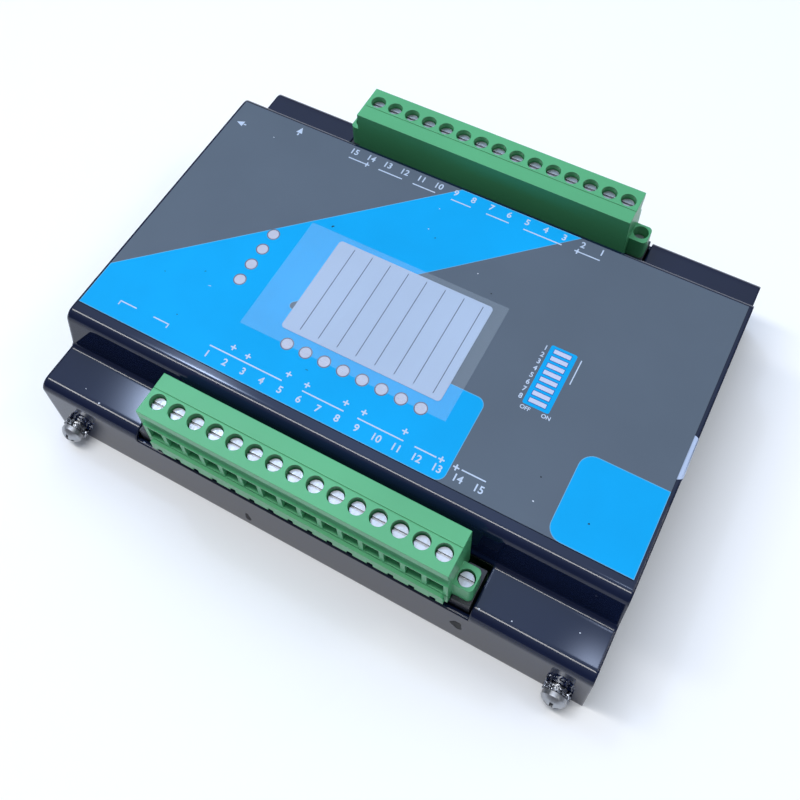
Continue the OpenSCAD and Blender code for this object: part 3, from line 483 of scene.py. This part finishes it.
def white_print():
    lines = line_loops(REAR_LINES, REAR_LINE_Y) + line_loops(FRONT_LINES, FRONT_LINE_Y)
    ink_piece("print_lines", lines)
    ink_piece("print_pluses", [plus_loop(x, y) for x, y in PLUS_SIGNS])
    stems = [box_loop(*stem) for stem in ARROW_STEMS]
    ink_piece("print_arrows", [LEFT_ARROW, REAR_ARROW, *stems])
    ink_piece("print_bracket", [box_loop(*stroke) for stroke in BRACKET])


# Rows of numbers: first place along X, pitch and place along Y

POLES = 15
NUMBER_SIZE = 2.5
REAR_NUMBERS = (-35.7, 5.02, 36.05)
FRONT_NUMBERS = (-35.56, 5.03, -32.9)


def number_row(texts, start, pitch, y):
    return [(text, start + pitch * i, y) for i, text in enumerate(texts)]


def row_numbers():
    """Pole numbers; the two rows count in opposite directions."""
    numbers = [str(i + 1) for i in range(POLES)]
    rear = number_row(reversed(numbers), *REAR_NUMBERS)
    front = number_row(numbers, *FRONT_NUMBERS)
    words_piece("row_numbers", rear + front, NUMBER_SIZE, PANEL_Z, INK_T, white_ink)


LEGEND_FIELD = (34.3, -9.9, 40.8, 6.76)
LEGEND_R = 0.5
LEGEND_BARS = 8
LEGEND_REAR_Y = 5.42
LEGEND_PITCH = 1.98
LEGEND_BAR_X = 37.5
LEGEND_BAR_HALF = (2.08, 0.54)
LEGEND_FRAME_HALF = (2.25, 0.72)
LEGEND_RULE = (41.87, -0.85, 42.13, 6.05)
DIGIT_X = 33.35
DIGIT_DROP = 0.1
DIGIT_SIZE = 1.8
LEGEND_MARKS = [("OFF", 35.5, -10.85), ("ON", 40.6, -10.85)]
MARK_SIZE = 1.4


def bar_loops(levels, half):
    across, along = half
    left, right = LEGEND_BAR_X - across, LEGEND_BAR_X + across
    return [box_loop(left, y - along, right, y + along) for y in levels]


def switch_legend():
    """Picture of the coding switch with its numbers and marks."""
    levels = [LEGEND_REAR_Y - LEGEND_PITCH * i for i in range(LEGEND_BARS)]
    field = box_loop(*LEGEND_FIELD, LEGEND_R)
    flat_piece("legend_field", [field], PANEL_Z, PANEL_Z + BLUE_T, blue_ink)
    frames = bar_loops(levels, LEGEND_FRAME_HALF)
    flat_piece("legend_frames", frames, PANEL_Z, PANEL_Z + INK_T, frame_ink)
    fills = bar_loops(levels, LEGEND_BAR_HALF)
    flat_piece("legend_bars", fills, PANEL_Z, PANEL_Z + INK_T + BLUE_T, bar_ink)
    ink_piece("legend_rule", [box_loop(*LEGEND_RULE)])
    digits = [(str(i + 1), DIGIT_X, y - DIGIT_DROP) for i, y in enumerate(levels)]
    words_piece("legend_digits", digits, DIGIT_SIZE, PANEL_Z, INK_T, white_ink)
    words_piece("legend_marks", LEGEND_MARKS, MARK_SIZE, PANEL_Z, INK_T, white_ink)


RULES = 8
RULE_LEFT_X = -19.65
RULE_PITCH = 5.05
RULE_HALF = 0.11
RULE_FRONT = -17.3
RULE_REAR = 8.5
RULE_T = 0.01


def card_rules():
    xs = [RULE_LEFT_X + RULE_PITCH * i for i in range(RULES)]
    loops = [box_loop(x - RULE_HALF, RULE_FRONT, x + RULE_HALF, RULE_REAR) for x in xs]
    flat_piece("card_rules", loops, card_high.z, card_high.z + RULE_T, rule_ink)


RING_LAP = 0.01
RING_W = 0.28


def light_rings():
    loops = []
    for x, y in lights:
        loops.append(circle_loop(x, y, LIGHT_HOLE_R + RING_LAP))
        loops.append(circle_loop(x, y, LIGHT_HOLE_R - RING_W))
    flat_piece("light_rings", loops, PANEL_Z, PANEL_Z + BLUE_T, ring_ink)


# Film, marks, seal and washers

def ring_sheet(name, rings, thickness, material):
    """Closed sheet over nested (outline, height) rings of equal point count, the inmost last."""
    count = len(rings[0][0])
    levels = [(outline, height - thickness) for outline, height in reversed(rings)] + rings
    points = [(x * MM, y * MM, height * MM) for outline, height in levels for x, y in outline]
    faces = []
    for low in range(0, (len(levels) - 1) * count, count):
        for i in range(count):
            j = (i + 1) % count
            faces.append([low + i, low + j, low + count + j, low + count + i])
    faces.append(list(reversed(range(count))))
    faces.append(list(range(len(points) - count, len(points))))
    mesh = bpy.data.meshes.new(name)
    mesh.from_pydata(points, [], faces)
    return add_piece(name, mesh, material)


FILM_T = 0.02
FILM_R = 0.05
CARD_R = 1
# How far each ring lies outside the card, and its share of the film's rise
FILM_RINGS = [(0.9, 0.0), (0.5, 0.5), (0.1, 1.0), (-0.6, 1.0)]


def draped_film():
    """Clear film that lies on the panel and rises over the card's edge."""
    low = PANEL_Z + INK_T + 2 * FILM_T
    high = card_high.z + 2 * FILM_T
    rings = [(box_loop(film_low.x, film_low.y, film_high.x, film_high.y, FILM_R), low)]
    for grow, share in FILM_RINGS:
        x0, y0 = card_low.x - grow, card_low.y - grow
        x1, y1 = card_high.x + grow, card_high.y + grow
        rings.append((box_loop(x0, y0, x1, y1, CARD_R + grow), low + (high - low) * share))
    film = ring_sheet("card_film", rings, FILM_T, finishes["film_clear"])
    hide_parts("clear_film")


LEDGE_Z = 20.8
MARK_T = 0.02
# Place, width, height and turn of each spot
DARK_SPECKS = [
    (-28.3, 12.3, 0.8, 0.4, 0.9), (45.44, -24.08, 0.4, 0.3, 0.0), (58.5, -28.85, 0.45, 0.35, 0.4),
    (-57.95, -18.6, 0.3, 0.2, 0.0), (-49.1, -13.95, 0.55, 0.15, 0.7),
    (-48.0, -27.4, 0.3, 0.25, 0.0), (-3.85, 21.1, 0.4, 0.25, 0.5),
    (-12.7, -25.6, 0.8, 0.14, 0.1), (15.7, 12.8, 0.4, 0.3, 0.2),
]
PALE_SPECKS = [
    (46.2, -29.8, 0.4, 0.3, 0.0), (-45.7, -17.0, 0.7, 0.14, 0.3), (-7.06, 29.7, 0.3, 0.2, 0.0),
    (-6.6, 22.8, 0.3, 0.25, 0.0), (10.3, 16.5, 0.3, 0.25, 0.0), (-57.6, 30.4, 0.4, 0.2, 0.0),
]
LEDGE_DUST = [
    (-56.3, -51.8, 0.5, 0.35, 0.5), (45.0, -52.2, 0.5, 0.4, 0.0), (52.15, -51.2, 0.3, 0.25, 0.0),
    (65.6, -46.65, 0.35, 0.25, 0.3), (-61.5, -50.2, 0.3, 0.2, 0.0),
]
WALL_MARKS = [(-14.5, 4.8, 1.5, 4.4), (41.1, 9.7, 2.8, 5.0)]


def specks():
    """Dust and small marks that lie on the face, the front ledges and the front wall."""
    layers = [
        ("dark_specks", DARK_SPECKS, PANEL_Z, INK_T, mark_ink),
        ("pale_specks", PALE_SPECKS, PANEL_Z, INK_T, dust),
        ("ledge_dust", LEDGE_DUST, LEDGE_Z, MARK_T, dust),
    ]
    for name, spots, level, thickness, material in layers:
        flat_piece(name, [blob_loop(*spot) for spot in spots], level, level + thickness, material)
    marks = [blob_loop(*mark) for mark in WALL_MARKS]
    wall_piece("paint_marks", marks, mark_ink, WALL_Y, MARK_T)


# Along the seal, from the panel over the edge and down the end: X from the case's end, Z from its
# top and share of the lift
SEAL_PATH = [
    (-1.05, 0, 0), (-0.3, 0, 0.4), (0, -0.1, 0.9), (0, -0.8, 1), (0, -3.7, 0.5), (0, -7.0, 0),
]
# Y of the seal's two sides, at its upper and lower end
SEAL_REAR = (0.7, -0.6)
SEAL_FRONT = (-10.9, -8.6)
SEAL_LIFT = 0.12
SEAL_T = 0.08
SEAL_COLUMNS = 12


def edge_seal():
    """Plain paper seal from the panel's edge over the end of the case, loose at its front end."""
    last = len(SEAL_PATH) - 1
    sheet = []
    for column in range(SEAL_COLUMNS + 1):
        share = column / SEAL_COLUMNS
        loose = SEAL_LIFT * share ** 2
        path = []
        for x, z, weight in SEAL_PATH:
            path.append(Vector((cover_high.x + x + loose * weight, cover_high.z + z)))
        row = []
        for i, point in enumerate(path):
            along = (path[min(i + 1, last)] - path[max(i - 1, 0)]).normalized()
            out = point + Vector((-along.y, along.x)) * SEAL_T
            rear = SEAL_REAR[0] + (SEAL_REAR[1] - SEAL_REAR[0]) * i / last
            front = SEAL_FRONT[0] + (SEAL_FRONT[1] - SEAL_FRONT[0]) * i / last
            y = rear + (front - rear) * share
            row.append(((point.x, y, point.y), (out.x, y, out.y)))
        sheet.append(row)
    points, faces = [], []
    for row in sheet:
        rim = [outer for inner, outer in row] + [inner for inner, outer in reversed(row)]
        points += [tuple(value * MM for value in corner) for corner in rim]
    count = 2 * (last + 1)
    for column in range(SEAL_COLUMNS):
        for i in range(count):
            j = (i + 1) % count
            low = column * count
            faces.append([low + i, low + count + i, low + count + j, low + j])
    for i in range(last):
        for low, turned in ((0, False), (SEAL_COLUMNS * count, True)):
            quad = [low + i, low + i + 1, low + count - 2 - i, low + count - 1 - i]
            faces.append(quad[::-1] if turned else quad)
    mesh = bpy.data.meshes.new("edge_seal")
    mesh.from_pydata(points, [], faces)
    return add_piece("edge_seal", mesh, seal_paper)


WASHER_TEETH = 11
WASHER_STEPS = 44
WASHER_IN = 1.95
WASHER_OUT = 2.5
WASHER_HALF_T = 0.2
TOOTH_HALF_T = 0.17
# Radius, half width and share of the twist of each section along a tooth
TOOTH_SECTIONS = [(2.3, 0.5, 0.35), (2.8, 0.5, 0.7), (3.25, 0.42, 0.85)]
# Distance from the wall and twist of the two washers under a screw
WASHER_PAIR = [(0.5, 1), (1.3, -1)]
COVER_SCREW_X = 66.0
COVER_SCREW_Z = 4.5


def tooth_points(angle, level, twist):
    """Corners of a tooth's sections, four for each."""
    points = []
    for radius, half, share in TOOTH_SECTIONS:
        lean = twist * share
        corners = [
            (-half, -TOOTH_HALF_T), (half, -TOOTH_HALF_T),
            (half, TOOTH_HALF_T), (-half, TOOTH_HALF_T),
        ]
        for across, thick in corners:
            side = across * math.cos(lean) - thick * math.sin(lean)
            z = across * math.sin(lean) + thick * math.cos(lean)
            x = radius * math.cos(angle) - side * math.sin(angle)
            y = radius * math.sin(angle) + side * math.cos(angle)
            points.append((x, y, level + z))
    return points


def washer_shape(level, twist):
    """Ring and twisted teeth of one lock washer about Z, as points and faces in mm."""
    points, faces = [], []
    section = [
        (WASHER_IN, -WASHER_HALF_T), (WASHER_OUT, -WASHER_HALF_T), (WASHER_OUT, WASHER_HALF_T),
        (WASHER_IN, WASHER_HALF_T),
    ]
    for k in range(WASHER_STEPS):
        angle = 2 * math.pi * k / WASHER_STEPS
        for radius, z in section:
            points.append((radius * math.cos(angle), radius * math.sin(angle), level + z))
        first, after = 4 * k, 4 * ((k + 1) % WASHER_STEPS)
        for i in range(4):
            j = (i + 1) % 4
            faces.append([first + i, after + i, after + j, first + j])
    for k in range(WASHER_TEETH):
        base = len(points)
        points += tooth_points(2 * math.pi * k / WASHER_TEETH, level, twist)
        for low in (base, base + 4):
            for i in range(4):
                j = (i + 1) % 4
                faces.append([low + i, low + j, low + 4 + j, low + 4 + i])
        faces.append([base + 3, base + 2, base + 1, base])
        faces.append([base + 8, base + 9, base + 10, base + 11])
    return points, faces


def lock_washers():
    """A pair of lock washers with opposite twist under each cover screw."""
    points, faces = [], []
    for x in (-COVER_SCREW_X, COVER_SCREW_X):
        for side in (-1, 1):
            for level, twist in WASHER_PAIR:
                shape, quads = washer_shape(level, twist)
                first = len(points)
                for u, v, w in shape:
                    place = (x + u, side * (w - WALL_Y), COVER_SCREW_Z - side * v)
                    points.append(tuple(value * MM for value in place))
                faces += [[first + i for i in quad] for quad in quads]
    mesh = bpy.data.meshes.new("toothed_washers")
    mesh.from_pydata(points, [], faces)
    washers = add_piece("toothed_washers", mesh, finishes["washer_steel"])
    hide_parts("lock_washers")


blue_fields()
white_print()
row_numbers()
switch_legend()
card_rules()
light_rings()
draped_film()
specks()
edge_seal()
lock_washers()


# Stage, light and camera

FLOOR_HALF = 4.0
FLOOR_DROP = 0.02
FLOOR_TONE = (0.95, 0.95, 0.95, 1.0)


def stage_floor():
    near, far = -FLOOR_HALF, FLOOR_HALF
    corners = [(near, near), (far, near), (far, far), (near, far)]
    mesh = bpy.data.meshes.new("floor")
    mesh.from_pydata([(x, y, -FLOOR_DROP * MM) for x, y in corners], [], [[0, 1, 2, 3]])
    floor = bpy.data.objects.new("floor", mesh)
    bpy.context.scene.collection.objects.link(floor)
    material = bpy.data.materials.new("pale_floor")
    material.use_nodes = True
    shader = material.node_tree.nodes["Principled BSDF"]
    shader.inputs["Base Color"].default_value = FLOOR_TONE
    shader.inputs["Roughness"].default_value = 0.9
    shader.inputs["Specular IOR Level"].default_value = 0.1
    mesh.materials.append(material)


ROOM_TONE = (0.15, 0.15, 0.17)
# Direction, sharpness and tone of each bright patch of the room
PATCHES = [
    ((-0.15, 0.35, 0.92), 2.2, (0.71, 0.84, 1.0)),
    ((-0.25, 0.26, 0.93), 30.0, (0.6, 0.95, 1.7)),
    ((-0.405, 0.262, 0.876), 1600.0, (30.0, 37.0, 52.0)),
    ((0.02, 0.26, 0.965), 5000.0, (8.0, 9.5, 13.0)),
]


def vector_math(tree, operation, first, second):
    """Vector node whose inputs are sockets or plain values."""
    node = add_node(tree, "ShaderNodeVectorMath", operation=operation)
    slots = (node.inputs[0], node.inputs["Scale"] if operation == "SCALE" else node.inputs[1])
    for slot, value in zip(slots, (first, second)):
        if isinstance(value, bpy.types.NodeSocket):
            tree.links.new(value, slot)
        else:
            slot.default_value = value
    return node.outputs["Value" if operation == "DOT_PRODUCT" else "Vector"]


def soft_room():
    """Even dim room with two broad cool patches above and behind and two small bright ones."""
    world = bpy.data.worlds.new("soft_room")
    bpy.context.scene.world = world
    world.use_nodes = True
    tree = world.node_tree
    background = tree.nodes["Background"]
    background.inputs["Strength"].default_value = 1.0
    direction = add_node(tree, "ShaderNodeTexCoord").outputs["Generated"]
    light = ROOM_TONE
    for axis, sharpness, tone in PATCHES:
        nearness = add_node(tree, "ShaderNodeMath", operation="POWER", use_clamp=True)
        facing = vector_math(tree, "DOT_PRODUCT", direction, tuple(Vector(axis).normalized()))
        above = add_node(tree, "ShaderNodeMath", operation="MAXIMUM")
        above.inputs[1].default_value = 0.0
        tree.links.new(facing, above.inputs[0])
        tree.links.new(above.outputs["Value"], nearness.inputs[0])
        nearness.inputs[1].default_value = sharpness
        patch = vector_math(tree, "SCALE", tone, nearness.outputs["Value"])
        light = vector_math(tree, "ADD", patch, light)
    tree.links.new(light, background.inputs["Color"])


def strip_light(name, place, target, along, length, width, power, tint):
    """Long soft box; places and sizes in mm."""
    lamp = bpy.data.lights.new(name, "AREA")
    lamp.shape = "RECTANGLE"
    lamp.size = length * MM
    lamp.size_y = width * MM
    lamp.energy = power
    lamp.color = tint
    holder = bpy.data.objects.new(name, lamp)
    bpy.context.scene.collection.objects.link(holder)
    holder.location = Vector(place) * MM
    back = (Vector(place) - Vector(target)).normalized()
    side = (Vector(along) - back * back.dot(Vector(along))).normalized()
    turn = Matrix((side, back.cross(side), back)).transposed()
    holder.rotation_mode = "QUATERNION"
    holder.rotation_quaternion = turn.to_quaternion()


SENSOR_WIDTH = 36.0
LENS = 46.811
SHIFT_UP = -0.18
CAMERA_PLACE = (65.73, -112.579, 243.738)
CAMERA_TURN = (34.527, 1.477, 28.755)


def photo_camera():
    """Camera solved from the photograph; its place in mm and its turn in degrees."""
    camera = bpy.data.cameras.new("photo_camera")
    camera.sensor_width = SENSOR_WIDTH
    camera.lens = LENS
    camera.shift_y = SHIFT_UP
    camera.clip_start = 0.01
    holder = bpy.data.objects.new("photo_camera", camera)
    bpy.context.scene.collection.objects.link(holder)
    holder.location = Vector(CAMERA_PLACE) * MM
    holder.rotation_euler = Euler([math.radians(angle) for angle in CAMERA_TURN], "XYZ")
    bpy.context.scene.camera = holder


stage_floor()
soft_room()
strip_light(
    "long_strip", place=(-170, -110, 710), target=(0, 0, 20), along=(1, 0, 0),
    length=620, width=95, power=2.75, tint=(1.0, 0.99, 0.97),
)
strip_light(
    "side_strip", place=(380, 150, 560), target=(60, 0, 20), along=(0, 1, 0),
    length=200, width=100, power=0.5, tint=(1.0, 0.95, 0.8),
)
photo_camera()
bpy.context.scene.view_settings.view_transform = "Standard"
